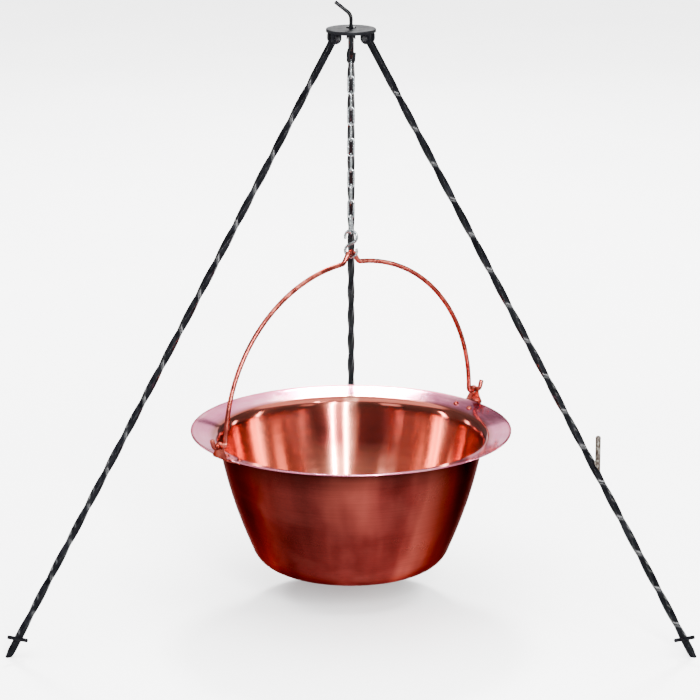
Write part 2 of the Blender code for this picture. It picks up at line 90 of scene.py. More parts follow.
PIN_RADIUS = 0.0015
PIN_LENGTH = 0.020
WIRE = 0.004
LINKS = 11
LINK_WIDTH = 0.016
TWISTED_FROM = 9
LINK_TWIST = math.radians(-5)
S_WIRE = 0.006
S_LOOP = 0.0128
S_YAW = math.radians(-22)
BAIL_ROD = 0.010
BAIL_BEND = 0.007               # radius of the bail's bends on both sides of the ear
BAIL_END = 0.014                # straight end past the last bend
ARCH_RADIUS = 0.3225
PEAK_HALF_WIDTH = 0.026
RIM_RADIUS = 0.332
BASE = (0.138, -0.2895)         # edge of the kettle's flat bottom: r, and z from the rim
BELLY = (0.2065, -0.245)        # end of the bottom's round
NECK = (0.2725, -0.028)         # top of the wall
FLARE_START = 0.287
FLARE_SLOPE = 0.263
WALL = 0.0015
BEAD_RADIUS = 0.0015
KETTLE_SEGMENTS = 240
EAR_PLATE = 0.0025
EAR_PLANE = 0.3385
EAR_BELOW = 0.0019              # from the flare's middle surface down to the ear's strip
RIVET_RADIUS = 0.003
RIVET_SPREAD = 0.021
RIVET_CIRCLE = 0.306
PLAY = 0.985                    # round bars are made a trace thin, so that they just touch

# places read from the frame
JOINTS = {joint["name"]: joint for joint in frame["joints"]}
MOUNTS = {mount["name"]: mount for mount in frame["record"]["mounts"]}
AXIS = Vector(JOINTS["hook_swivel"]["pos_m"])
PLATE_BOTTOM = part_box("top_plate")[0].z
PLATE_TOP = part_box("top_plate")[1].z
BOWL_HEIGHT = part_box("hook_rod")[0].z + BOWL_ROD
PIVOT_HEIGHT = JOINTS["kettle_tilt"]["pos_m"][2]
TILT_AXIS = JOINTS["kettle_tilt"]["axis"]
BAIL_YAW = math.atan2(abs(TILT_AXIS[1]), abs(TILT_AXIS[0]))
BAIL_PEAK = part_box("bail")[1].z - BAIL_ROD / 2
RIM_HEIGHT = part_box("kettle")[1].z - BEAD_RADIUS
EAR_TURNS = {"left": BAIL_YAW + math.pi, "right": BAIL_YAW}


# ---------------------------------------------------------------- mesh helpers

def linked(name, data):
    """A new object in the scene, at the origin."""
    thing = bpy.data.objects.new(name, data)
    bpy.context.scene.collection.objects.link(thing)
    return thing


def place(name, mesh, matrix=None):
    """Link a mesh as an object at the origin, its points moved by the matrix."""
    if matrix is not None:
        mesh.transform(matrix)
    return linked(name, mesh)


def shade(mesh, sharp):
    """Smooth shading, but for edges over the angle in degrees."""
    mesh.shade_smooth()
    mesh.set_sharp_from_angle(angle=math.radians(sharp))


def from_bmesh(bm, name, sharp=38):
    bmesh.ops.recalc_face_normals(bm, faces=bm.faces)
    mesh = bpy.data.meshes.new(name)
    bm.to_mesh(mesh)
    bm.free()
    shade(mesh, sharp)
    return mesh


def skin(rings, name, sharp=38, closed=False):
    """Skin equal rings of points; the ends are capped unless the rings close on themselves."""
    bm = bmesh.new()
    loops = [[bm.verts.new(p) for p in ring] for ring in rings]
    count = len(loops[0])
    following = loops[1:] + [loops[0]] if closed else loops[1:]
    for lower, upper in zip(loops, following):
        for k in range(count):
            n = (k + 1) % count
            bm.faces.new((lower[k], lower[n], upper[n], upper[k]))
    if not closed:
        bm.faces.new(loops[0])
        bm.faces.new(loops[-1])
    return from_bmesh(bm, name, sharp)


def circle(radius, height, count):
    spin = [math.tau * k / count for k in range(count)]
    return [(radius * math.cos(a), radius * math.sin(a), height) for a in spin]


def turned(name, profile, count, sharp=38, closed=False):
    """Rings from a profile of (radius, height); a closed profile makes a ring with a hole."""
    return skin([circle(r, z, count) for r, z in profile], name, sharp, closed)


def bar(name, points, radius, matrix=None, closed=False, sides=6, widths=None):
    """A round bar along the points, with its open ends chamfered."""
    curve = bpy.data.curves.new(name, "CURVE")
    curve.dimensions = "3D"
    curve.bevel_depth = radius
    curve.bevel_resolution = sides
    curve.use_fill_caps = not closed
    points = [Vector(p) for p in points]
    sizes = list(widths) if widths else [1.0] * len(points)
    if not closed:
        run = (points[1] - points[0]).normalized() * radius * 0.3
        points = [points[0], points[0] + run] + points[1:]
        run = (points[-2] - points[-1]).normalized() * radius * 0.3
        points = points[:-1] + [points[-1] + run, points[-1]]
        sizes = [sizes[0] * 0.72, sizes[0]] + sizes[1:-1] + [sizes[-1], sizes[-1] * 0.72]
    spline = curve.splines.new("POLY")
    spline.points.add(len(points) - 1)
    for slot, point, size in zip(spline.points, points, sizes):
        slot.co = (*point, 1)
        slot.radius = size
    spline.use_cyclic_u = closed
    guide = linked(name, curve)
    shape = guide.evaluated_get(bpy.context.evaluated_depsgraph_get())
    mesh = bpy.data.meshes.new_from_object(shape)
    bpy.data.objects.remove(guide, do_unlink=True)
    mesh.materials.clear()
    bm = bmesh.new()
    bm.from_mesh(mesh)
    bmesh.ops.remove_doubles(bm, verts=bm.verts, dist=0.00001)
    bpy.data.meshes.remove(mesh)
    return place(name, from_bmesh(bm, name), matrix)


def carve(thing, cutter_mesh, matrix, operation="DIFFERENCE"):
    """Apply one exact Boolean to a piece and drop its cutter."""
    cutter = place("cutter", cutter_mesh, matrix)
    step = thing.modifiers.new("carve", "BOOLEAN")
    step.operation = operation
    step.solver = "EXACT"
    step.object = cutter
    apply_modifiers(thing)
    bpy.data.objects.remove(cutter, do_unlink=True)


def drill(thing, radius, reach, matrix, count=32):
    """Cut a round hole along the matrix's Z, as far to both sides."""
    carve(thing, turned("hole", [(radius, -reach), (radius, reach)], count), matrix)


def apply_modifiers(thing):
    shape = thing.evaluated_get(bpy.context.evaluated_depsgraph_get())
    thing.data = bpy.data.meshes.new_from_object(shape)
    thing.modifiers.clear()


def soften(thing, width):
    """Round off the edges of a piece."""
    edge = thing.modifiers.new("edge", "BEVEL")
    edge.width = width
    edge.segments = 2
    edge.limit_method = "ANGLE"
    edge.angle_limit = math.radians(35)
    apply_modifiers(thing)
    shade(thing.data, 50)


def dress(thing, body, finish, slot, *nodes):
    """Give a piece its finish, the body that it moves with and the CAD nodes it stands for."""
    thing.data.materials.clear()
    thing.data.materials.append(finish)
    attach(thing, body)
    if nodes:
        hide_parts(*nodes)


def arc(centre, radius, start, end, steps):
    """Points in the XZ plane round a centre (x, z), angles in degrees from +X."""
    spin = [math.radians(start + (end - start) * k / steps) for k in range(steps + 1)]
    return [
        Vector((centre[0] + radius * math.cos(a), 0, centre[1] + radius * math.sin(a)))
        for a in spin
    ]


def bezier(points, steps):
    """Points in the XZ plane on a Bezier curve, from (x, z) control points."""
    degree = len(points) - 1
    out = []
    for k in range(steps + 1):
        t = k / steps
        weights = [
            math.comb(degree, i) * t**i * (1 - t) ** (degree - i) for i in range(degree + 1)
        ]
        x = sum(w * p[0] for w, p in zip(weights, points))
        z = sum(w * p[1] for w, p in zip(weights, points))
        out.append(Vector((x, 0, z)))
    return out


def offset_line(line, distance):
    """The line moved sideways, to its left for a positive distance."""
    out = []
    for k, (r, z) in enumerate(line):
        before = line[max(k - 1, 0)]
        after = line[min(k + 1, len(line) - 1)]
        run = Vector((after[0] - before[0], after[1] - before[1])).normalized()
        out.append((r - run.y * distance, z + run.x * distance))
    return out


def paint_attribute(mesh, name, values):
    layer = mesh.attributes.new(name, "FLOAT", "POINT")
    layer.data.foreach_set("value", values)


def on_axis(height=0.0):
    """The world's axes, moved to the hook's vertical axis at a height."""
    return Matrix.Translation((AXIS.x, AXIS.y, height))


def across(matrix):
    """Turn a frame so that its Z lies along the old Y."""
    return matrix @ Matrix.Rotation(-math.pi / 2, 4, "X")


# ---------------------------------------------------------------- materials

def new_finish(name, metallic):
    made = bpy.data.materials.new(name)
    made.use_nodes = True
    shader = made.node_tree.nodes["Principled BSDF"]
    shader.inputs["Metallic"].default_value = metallic
    return made, made.node_tree, shader


def feed(tree, socket, value):
    """Link a socket to another node's output, or set it to a number, vector or colour."""
    if isinstance(value, bpy.types.NodeSocket):
        tree.links.new(value, socket)
    else:
        socket.default_value = (*value, 1) if socket.type == "RGBA" else value


def add(tree, kind, settings=(), **inputs):
    """Add a shader node, with its inputs given by name."""
    node = tree.nodes.new("ShaderNode" + kind)
    for key, value in dict(settings).items():
        setattr(node, key, value)
    for key, value in inputs.items():
        feed(tree, node.inputs[key.replace("_", " ")], value)
    return node


def grain(tree, scale, detail=3.0, distortion=0.0):
    """Noise over the piece's own coordinates, with its own scale along X, Y and Z."""
    where = add(tree, "TexCoord").outputs["Object"]
    spread = add(tree, "Mapping", Vector=where, Scale=scale).outputs["Vector"]
    return add(tree, "TexNoise", Vector=spread, Scale=1.0, Detail=detail,
               Distortion=distortion).outputs["Fac"]


def ramp(tree, amount, stops):
    """Colours, or greys given as one number, at positions along the amount."""
    node = add(tree, "ValToRGB", Fac=amount)
    marks = node.color_ramp.elements
    while len(marks) < len(stops):
        marks.new(0.5)
    for mark, (position, colour) in zip(marks, stops):
        mark.position = position
        mark.color = (*colour, 1) if isinstance(colour, tuple) else (colour,) * 3 + (1,)
    return node.outputs["Color"]


def blend_colours(tree, amount, first, second, blend="MIX"):
    node = add(tree, "Mix", {"data_type": "RGBA", "blend_type": blend})
    # a mix node's colour inputs and output share their names with its other kinds
    for socket, value in ((0, amount), (6, first), (7, second)):
        feed(tree, node.inputs[socket], value)
    return node.outputs[2]


def multiply_colours(tree, first, second):
    return blend_colours(tree, 1.0, first, second, "MULTIPLY")


def calc(tree, operation, first, second):
    node = add(tree, "Math", {"operation": operation})
    feed(tree, node.inputs[0], first)
    feed(tree, node.inputs[1], second)
    return node.outputs[0]


def spread_of(tree, amount, low, high, least=0.3, most=0.7):
    """A number between low and high, for a value (a noise unless told) from least to most."""
    return add(tree, "MapRange", Value=amount, From_Min=least, From_Max=most,
               To_Min=low, To_Max=high).outputs["Result"]


def bumps(tree, shader, layers):
    """Stack bumps of (height, strength, distance) onto the shader."""
    normal = None
    for height, strength, distance in layers:
        node = add(tree, "Bump", Height=height, Strength=strength, Distance=distance)
        if normal:
            feed(tree, node.inputs["Normal"], normal)
        normal = node.outputs["Normal"]
    feed(tree, shader.inputs["Normal"], normal)


def complete(tree, shader, colour, roughness, layers):
    """Give the shader its colour, its roughness and its bumps."""
    feed(tree, shader.inputs["Base Color"], colour)
    feed(tree, shader.inputs["Roughness"], roughness)
    bumps(tree, shader, layers)


def attribute(tree, name):
    return add(tree, "Attribute", {"attribute_name": name}).outputs["Fac"]


def black_paint():
    """Glossy black paint over forged bar, dusty in places and rubbed grey on the edges."""
    made, tree, shader = new_finish("black_paint", 0.0)
    shader.inputs["Specular IOR Level"].default_value = 0.06
    patches = grain(tree, (38, 38, 38), 4)
    fine = grain(tree, (900, 900, 900), 2)
    peel = grain(tree, (260, 260, 260), 2)
    chips = grain(tree, (420, 420, 420), 5)
    paint = ramp(tree, patches, [(0.35, (0.0012, 0.0012, 0.0016)),
                                 (0.6, (0.0028, 0.0028, 0.0036)), (0.8, (0.009, 0.009, 0.011))])
    rubbed = calc(tree, "MULTIPLY", attribute(tree, "edge"), spread_of(tree, chips, 0.0, 1.0))
    worn = ramp(tree, rubbed, [(0.70, 0.0), (0.95, 0.40)])
    colour = blend_colours(tree, worn, paint, (0.020, 0.020, 0.023))
    complete(tree, shader, colour, spread_of(tree, patches, 0.09, 0.22),
             [(peel, 0.10, 0.0003), (fine, 0.05, 0.0001), (chips, 0.06, 0.0002)])
    return made


def plate_paint():
    """Satin charcoal paint with brushed streaks and rubbed patches."""
    made, tree, shader = new_finish("dark_plate_paint", 0.0)
    shader.inputs["Specular IOR Level"].default_value = 0.03
    streaks = grain(tree, (60, 700, 200), 4, 0.4)
    patches = grain(tree, (90, 90, 90), 4)
    paint = ramp(tree, streaks, [(0.3, (0.0010, 0.0010, 0.0016)),
                                 (0.55, (0.0024, 0.0024, 0.0032)), (0.75, (0.008, 0.008, 0.010))])
    colour = blend_colours(tree, ramp(tree, patches, [(0.45, 0.0), (0.7, 0.6)]), paint,
                           (0.0045, 0.0045, 0.0055))
    complete(tree, shader, colour, spread_of(tree, patches, 0.46, 0.62),
             [(streaks, 0.12, 0.0002), (patches, 0.10, 0.0003)])
    return made


def fastener_black():
    """Blackened bolts and nuts, with paler specks."""
    made, tree, shader = new_finish("fastener_black", 0.0)
    patches = grain(tree, (300, 300, 300), 4)
    fine = grain(tree, (1500, 1500, 1500), 2)
    colour = ramp(tree, patches, [(0.35, (0.002, 0.002, 0.003)), (0.6, (0.006, 0.006, 0.007)),
                                  (0.78, (0.030, 0.030, 0.032))])
    complete(tree, shader, colour, spread_of(tree, patches, 0.18, 0.34), [(fine, 0.1, 0.0001)])
    return made


def galvanised():
    """Zinc on wire: bright crystals, and patches of grime that are darker and rougher."""
    made, tree, shader = new_finish("galvanised_steel", 1.0)
    where = add(tree, "TexCoord").outputs["Object"]
    crystals = add(tree, "TexVoronoi", Vector=where, Scale=520.0).outputs["Color"]
    tone = add(tree, "SeparateColor", Color=crystals).outputs[0]
    grime = grain(tree, (130, 130, 130), 5)
    fine = grain(tree, (1600, 1600, 1600), 2)
    zinc = ramp(tree, tone, [(0.0, (0.12, 0.13, 0.14)), (0.5, (0.26, 0.285, 0.30)),
                             (1.0, (0.50, 0.525, 0.53))])
    colour = blend_colours(tree, ramp(tree, grime, [(0.48, 0.0), (0.68, 0.8)]), zinc,
                           (0.13, 0.135, 0.13))
    complete(tree, shader, colour, spread_of(tree, grime, 0.15, 0.34),
             [(tone, 0.08, 0.0001), (fine, 0.12, 0.0001)])
    return made


def bare_steel():
    """Unpainted steel, mottled with scale, flux and a little rust."""
    made, tree, shader = new_finish("bare_steel", 0.65)
    blots = grain(tree, (210, 210, 150), 6, 0.8)
    fine = grain(tree, (900, 900, 900), 3)
    colour = ramp(tree, blots, [(0.38, (0.010, 0.006, 0.004)), (0.46, (0.036, 0.022, 0.015)),
                                (0.54, (0.034, 0.029, 0.024)), (0.62, (0.15, 0.135, 0.115)),
                                (0.70, (0.018, 0.012, 0.009))])
    complete(tree, shader, colour, spread_of(tree, blots, 0.30, 0.62),
             [(blots, 0.35, 0.0006), (fine, 0.25, 0.0002)])
    return made


def outer_copper(tree, bands, clouds, height, share):
    """Brown copper outside, with painted shade that darkens it up towards the flare and painted
    reflections in light and dark panels round the wall.
    """
    sheet = ramp(tree, bands, [(0.36, (0.21, 0.021, 0.019)), (0.50, (0.40, 0.048, 0.042)),
                               (0.64, (0.92, 0.172, 0.130))])
    stained = blend_colours(tree, ramp(tree, clouds, [(0.42, 0.0), (0.75, 0.35)]), sheet,
                            (0.67, 0.151, 0.118))
    # painted shade: the wall grows darker upward, most of all just under the flare
    painted_shade_by_height = ramp(tree, height, [(0.08, 1.0), (0.13, 0.72), (0.20, 0.50), (0.29, 0.38),
                                      (0.345, 0.09)])
    # painted reflections: light and dark panels at fixed turns round the wall
    painted_reflection_panels = ramp(tree, share, [(0.0, 0.70), (0.33, 0.62), (0.37, 0.45), (0.41, 0.50),
                                (0.45, 0.76), (0.50, 0.68), (0.545, 0.95), (0.575, 0.30),
                                (0.60, 0.11), (0.68, 0.10), (0.76, 0.5), (1.0, 0.70)])
    return multiply_colours(tree, multiply_colours(tree, stained, painted_shade_by_height), painted_reflection_panels)


def inner_copper(tree, bands, height, share):
    """Rosy copper inside, with painted dark reflections up the far sides and, but for the rear,
    along the neck.
    """
    sheet = ramp(tree, bands, [(0.34, (0.84, 0.24, 0.15)), (0.62, (0.96, 0.38, 0.27))])
    # painted dark reflections on the upper inner wall, to both sides of the rear
    sides = ramp(tree, share, [(0.02, 0.0), (0.045, 1.0), (0.14, 1.0), (0.18, 0.3), (0.30, 0.0),
                               (0.70, 0.0), (0.82, 0.3), (0.86, 1.0), (0.955, 1.0), (0.98, 0.0)])
    upper = ramp(tree, height, [(0.20, 0.0), (0.255, 1.0), (0.325, 0.9), (0.335, 1.0)])
    painted_reflection_mask = multiply_colours(tree, sides, upper)
    with_painted_reflections = blend_colours(tree, painted_reflection_mask, sheet, (0.27, 0.050, 0.042))
    # painted dark reflection: a band along the inside of the neck, but for the rear
    but_rear = ramp(tree, share, [(0.02, 0.0), (0.04, 1.0), (0.96, 1.0), (0.98, 0.0)])
    neck = multiply_colours(tree, ramp(tree, height, [(0.312, 0.0), (0.328, 1.0)]), but_rear)
    return blend_colours(tree, neck, with_painted_reflections, (0.34, 0.085, 0.060))


def copper_sheet():
    """Spun copper: bright and rosy inside, browner outside, brushed round the axis."""
    made, tree, shader = new_finish("copper_sheet", 1.0)
    inside = attribute(tree, "inside")
    streaks = grain(tree, (5, 5, 620), 3)
    bands = grain(tree, (7, 7, 0.8), 3)
    clouds = grain(tree, (9, 9, 13), 5, 0.6)
    spot = add(tree, "SeparateXYZ", Vector=add(tree, "TexCoord").outputs["Object"]).outputs
    turn = calc(tree, "ARCTAN2", spot["X"], calc(tree, "MULTIPLY", spot["Y"], -1.0))
    # share of a turn round the world's Z, with the front at a half
    share = spread_of(tree, turn, 0.0, 1.0, -math.pi, math.pi)
    wall = blend_colours(tree, inside, outer_copper(tree, bands, clouds, spot["Z"], share),
                         inner_copper(tree, bands, spot["Z"], share))
    # the flare's lilac-pink colour: partly a tint of the copper, partly painted reflection of a
    # pale sky
    lip = ramp(tree, clouds, [(0.36, (0.72, 0.19, 0.34)), (0.50, (0.90, 0.28, 0.43)),
                              (0.66, (0.98, 0.46, 0.55))])
    colour = blend_colours(tree, attribute(tree, "flare"), wall, lip)
    scored = ramp(tree, streaks, [(0.30, 0.86), (0.60, 1.0)])
    edge = blend_colours(tree, inside, (0.40, 0.15, 0.13), (0.96, 0.80, 0.82))
    feed(tree, shader.inputs["Specular Tint"], edge)
    outside_rough = spread_of(tree, clouds, 0.26, 0.40)
    inside_rough = spread_of(tree, clouds, 0.10, 0.17)
    smoother = calc(tree, "SUBTRACT", inside_rough, outside_rough)
    rough = calc(tree, "ADD", outside_rough, calc(tree, "MULTIPLY", smoother, inside))
    shader.inputs["Anisotropic"].default_value = 0.6
    shader.inputs["Anisotropic Rotation"].default_value = 0.25
    around = add(tree, "Tangent", {"direction_type": "RADIAL", "axis": "Z"})
    feed(tree, shader.inputs["Tangent"], around.outputs["Tangent"])
    complete(tree, shader, multiply_colours(tree, colour, scored), rough,
             [(bands, 0.04, 0.0004)])
    return made


def copper_rod():
    """Drawn copper rod: orange, with lengthwise die lines, hazy handling marks and tarnish."""
    made, tree, shader = new_finish("copper_rod", 1.0)
    haze = grain(tree, (34, 34, 34), 5, 0.5)
    fine = grain(tree, (1100, 1100, 60), 3)
    colour = ramp(tree, haze, [(0.30, (0.13, 0.020, 0.016)), (0.50, (0.22, 0.040, 0.031)),
                               (0.70, (0.46, 0.115, 0.085))])
    shader.inputs["Specular Tint"].default_value = (0.45, 0.20, 0.16, 1)
    complete(tree, shader, colour, spread_of(tree, haze, 0.18, 0.34),
             [(fine, 0.06, 0.0001), (haze, 0.05, 0.0006)])
    return made


# ---------------------------------------------------------------- tripod

def hinge_frame(side):
    """X points outward, Y along the hinge bolt and Z up, at a leg's hinge."""
    joint = JOINTS[f"leg_{side}_fold"]
    hinge = Vector(joint["pos_m"])
    outward = Vector((hinge.x - AXIS.x, hinge.y - AXIS.y, 0)).normalized()
    turn = Matrix.Rotation(math.atan2(outward.y, outward.x), 4, "Z")
    return Matrix.Translation(hinge) @ turn


def leg_measures(side):
    """The leg's lean and its length from the hinge to the ground."""
    hinge = Vector(JOINTS[f"leg_{side}_fold"]["pos_m"])
    foot = Vector(MOUNTS["foot_" + side]["pos_m"])
    reach = math.hypot(foot.x - hinge.x, foot.y - hinge.y)
    return math.atan2(reach, hinge.z), math.hypot(reach, hinge.z)


def leg_frame(side):
    """The hinge frame leaned so that Z runs up along the bar."""
    lean, _ = leg_measures(side)
    return hinge_frame(side) @ Matrix.Rotation(-lean, 4, "Y")


def soft_square(half, radius, turn, height):
    """A square ring with rounded corners, and how near each point is to a corner."""
    c, s = math.cos(turn), math.sin(turn)
    reach = (half - radius) * math.sqrt(2)
    flat = []
    edges = []
    for corner in range(4):
        start = math.pi / 2 * corner
        middle = start + math.pi / 4
        for step in range(5):
            a = start + math.pi / 2 * step / 4
            flat.append((reach * math.cos(middle) + radius * math.cos(a),
                         reach * math.sin(middle) + radius * math.sin(a)))
            edges.append(1.0 - abs(step - 2) / 2 * 0.5)
        a = start + math.pi / 2
        flat.append((half * math.cos(a), half * math.sin(a)))
        edges.append(0.0)
    return [(x * c - y * s, x * s + y * c, height) for x, y in flat], edges


def leg_mesh(side):
    """A square bar: plain head, left-handed twist, then a tapered tip cut level."""
    lean, length = leg_measures(side)
    start = length - STOP_ABOVE_TIP - TWIST_QUARTERS * TWIST_STEP
    half = BAR / 2
    stations = [(half - 0.0008, 0, BAR_HEAD), (half, 0, BAR_HEAD - 0.0008), (half, 0, -start / 2)]
    steps = TWIST_QUARTERS * RINGS_PER_QUARTER
    for k in range(steps + 1):
        quarter = k / RINGS_PER_QUARTER
        stations.append((half, -math.pi / 2 * quarter, -(start + TWIST_STEP * quarter)))
    tip = length - TIP_TAPER
    # a ring square to the bar any lower would reach below the ground
    for share in (0.0, 0.35, 0.68):
        size = half + (TIP_SIDE / 2 - half) * share
        stations.append((size, 0, -(tip + TIP_TAPER * share)))
    rings = []
    edges = []
    for size, turn, height in stations:
        ring, edge = soft_square(size, min(BAR_EDGE, size * 0.4), turn, height)
        rings.append(ring)
        edges += edge
    ring, edge = soft_square(TIP_SIDE / 2, BAR_EDGE * 0.7, 0, -length)
    level = [(x, y, -length - x * math.tan(lean)) for x, y, _ in ring]
    rings.append(level)
    edges += edge
    mesh = skin(rings, "leg_" + side, 30)
    paint_attribute(mesh, "edge", edges)
    return mesh


def make_legs(paint):
    for side in SIDES:
        place_at = leg_frame(side)
        leg = place(f"twisted_leg_{side}", leg_mesh(side), place_at)
        drill(leg, BOLT_HOLE, BAR, across(place_at))
        shade(leg.data, 40)
        dress(leg, "leg_" + side, paint, "black_paint", "leg_" + side)


def bead(name, points, radius, seed):
    """A weld bead: overlapping ripples along the points, a little uneven."""
    points = [Vector(p) for p in points]
    path = []
    widths = []
    ripples = 5
    for a, b in zip(points, points[1:]):
        for k in range(ripples):
            at = a.lerp(b, k / ripples)
            shake = noise.noise(at * 900 + Vector((seed, 0, 0)))
            path.append(at)
            widths.append(0.86 + 0.16 * math.cos(math.tau * k / ripples) + 0.16 * shake)
    path.append(points[-1])
    widths.append(0.8)
    widths[0] = 0.8
    return bar(name, path, radius, sides=4, widths=widths)


def stop_frame(side):
    """Where a step bar lies, with Z along it, and how far it is beside the leg's middle."""
    lean, length = leg_measures(side)
    beside = STOP_BESIDE if side == "left" else -STOP_BESIDE
    at = Matrix.Translation((0, beside, -(length - STOP_ABOVE_TIP)))
    level = leg_frame(side) @ at @ Matrix.Rotation(lean, 4, "Y")
    return level @ Matrix.Rotation(math.pi / 2 - STOP_RISE, 4, "Y"), beside


def make_stops(paint):
    """A short round bar welded across each leg, with a bead above and below it."""
    for number, side in enumerate(SIDES):
        lie, beside = stop_frame(side)
        low = STOP_REACH / math.cos(STOP_RISE) - STOP_LENGTH
        points = [(0, 0, low + STOP_LENGTH * k / 6) for k in range(7)]
        stop = bar(f"step_bar_{side}", points, STOP_RADIUS, lie, sides=8)
        dress(stop, "leg_" + side, paint, "black_paint", "foot_stop_" + side)
        inward = -math.copysign(STOP_RADIUS * 0.80, beside)
        for edge, label in ((-1, "lower"), (1, "upper")):
            line = [lie @ Vector((edge * STOP_RADIUS * 0.72, inward, t * 0.0019))
                    for t in range(-3, 4)]
            weld = bead(f"step_weld_{side}_{label}", line, 0.0016, number * 7 + edge)
            dress(weld, "leg_" + side, paint, "black_paint")


def make_peg(finish):
    """The upright peg on the right leg: a domed pin, ribbed up its side, on a welded foot."""
    low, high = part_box("side_peg")
    lean, _ = leg_measures("right")
    centre = (low + high) / 2
    outward = hinge_frame("right").to_3x3() @ Vector((1, 0, 0))
    slant = PEG_RADIUS / math.tan(lean)
    height = high.z - low.z
    foot = Matrix.Translation((centre.x, centre.y, low.z + slant))
    place_at = foot @ Matrix.Rotation(math.atan2(outward.y, outward.x), 4, "Z")
    count = 40
    foot_radius = PEG_RADIUS * 0.97
    rings = [[(x, y, -PEG_RADIUS * x / foot_radius / math.tan(lean))
              for x, y, _ in circle(foot_radius, 0, count)]]
    ribs_from = 0.0095
    body_top = height - slant - PEG_RADIUS
    steps = 14 * 4
    for k in range(steps + 1):
        z = ribs_from + (body_top - ribs_from) * (k / steps)
        swell = PEG_RADIUS * (0.965 + 0.012 * math.cos(math.tau * k / 4))
        uneven = 0.0002 * noise.noise(Vector((0, 0, z * 220)))
        rings.append(circle(swell + uneven, z, count))
    for turn in range(0, 90, 9):
        a = math.radians(turn)
        rings.append(circle(PEG_RADIUS * math.cos(a), body_top + PEG_RADIUS * math.sin(a), count))
    peg = place("welded_peg", skin(rings, "welded_peg", 30), place_at)
    dress(peg, "leg_right", finish, "bare_steel", "side_peg")
    ring = []
    for k in range(9):
        a = math.radians(95 + 170 * k / 8)
        x = PEG_RADIUS * 1.05 * math.cos(a)
        y = PEG_RADIUS * 1.05 * math.sin(a)
        ring.append(place_at @ Vector((x, y, -x / math.tan(lean) + 0.001)))
    weld = bead("peg_weld", ring, 0.0016, 31)
    dress(weld, "leg_right", finish, "bare_steel")


def make_plate(finish):
    """A thick disc with rounded edges, dished a trace towards the rod's hole."""
    top = PLATE_TOP
    low = PLATE_BOTTOM
    r = PLATE_RADIUS
    e = 0.0011                  # radius of the rounded edges
    profile = [(ROD_HOLE_RADIUS, low + 0.0004), (ROD_HOLE_RADIUS + 0.0004, low), (r - e, low)]
    profile += [(r - e + e * math.sin(math.radians(t)), low + e - e * math.cos(math.radians(t)))
                for t in (30, 60, 90)]
    profile += [(r - e + e * math.cos(math.radians(t)), top - e + e * math.sin(math.radians(t)))
                for t in (0, 30, 60, 90)]
    profile += [(r * 0.86, top - 0.0001), (r * 0.5, top - 0.0003),
                (ROD_HOLE_RADIUS + 0.0006, top - 0.0003), (ROD_HOLE_RADIUS, top - 0.0008)]
    plate = place("head_plate", turned("head_plate", profile, 128, closed=True), on_axis())
    dress(plate, "head", finish, "dark_plate_paint", "top_plate")


def bracket_piece(side):
    """A bent U with rounded ears, half its width, and its top's height over the hinge."""
    top = PLATE_BOTTOM - GAP - JOINTS[f"leg_{side}_fold"]["pos_m"][2]
    outline = [Vector((EAR_HALF_WIDTH, 0, top)), Vector((-EAR_HALF_WIDTH, 0, top))]
    outline += arc((0, 0), EAR_HALF_WIDTH, 180, 360, 28)
    half = EAR_SLOT / 2 + EAR_THICKNESS
    sides = [[(p.x, y, p.z) for p in outline] for y in (-half, half)]
    frame_at = hinge_frame(side)
    bracket = place(f"hinge_bracket_{side}", skin(sides, "bracket"), frame_at)
    inner = EAR_THICKNESS - EAR_HALF_WIDTH
    slot = skin([[(inner, -EAR_SLOT / 2, z), (0.05, -EAR_SLOT / 2, z), (0.05, EAR_SLOT / 2, z),
                  (inner, EAR_SLOT / 2, z)] for z in (-0.05, 0.05)], "slot")
    carve(bracket, slot, frame_at)
    drill(bracket, BOLT_HOLE, 0.02, across(frame_at))
    soften(bracket, 0.0006)
    return bracket, half, top


def make_brackets(finish):
    for number, side in enumerate(SIDES):
        bracket, half, top = bracket_piece(side)
        dress(bracket, "head", finish, "dark_plate_paint", "bracket_" + side)
        for hand, label in ((-1, "a"), (1, "b")):
            line = [hinge_frame(side) @ Vector((x * 0.0028, hand * (half + 0.0004), top - 0.0009))
                    for x in range(-3, 4)]
            weld = bead(f"bracket_weld_{side}_{label}", line, 0.0013, number * 3 + hand)
            dress(weld, "head", finish, "dark_plate_paint")


def hex_rings(low, high, chamfer_low, chamfer_high):
    """Rings of a hexagon prism whose corners are turned off at the chosen ends."""
    flat = HEX_RADIUS * math.cos(math.pi / 6)
    count = 48

    def ring(height, limit):
        out = []
        for k in range(count):
            a = math.tau * k / count
            reach = min(flat / math.cos((a % (math.pi / 3)) - math.pi / 6), limit)
            out.append((reach * math.cos(a), reach * math.sin(a), height))
        return out

    cut = 0.0008                # height of a turned-off end
    rings = []
    if chamfer_low:
        rings += [ring(low, flat * 0.97), ring(low + cut * 0.5, flat * 1.07)]
    rings += [ring(low + (cut if chamfer_low else 0), HEX_RADIUS),
              ring(high - (cut if chamfer_high else 0), HEX_RADIUS)]
    if chamfer_high:
        rings += [ring(high - cut * 0.5, flat * 1.07), ring(high, flat * 0.97)]
    return rings


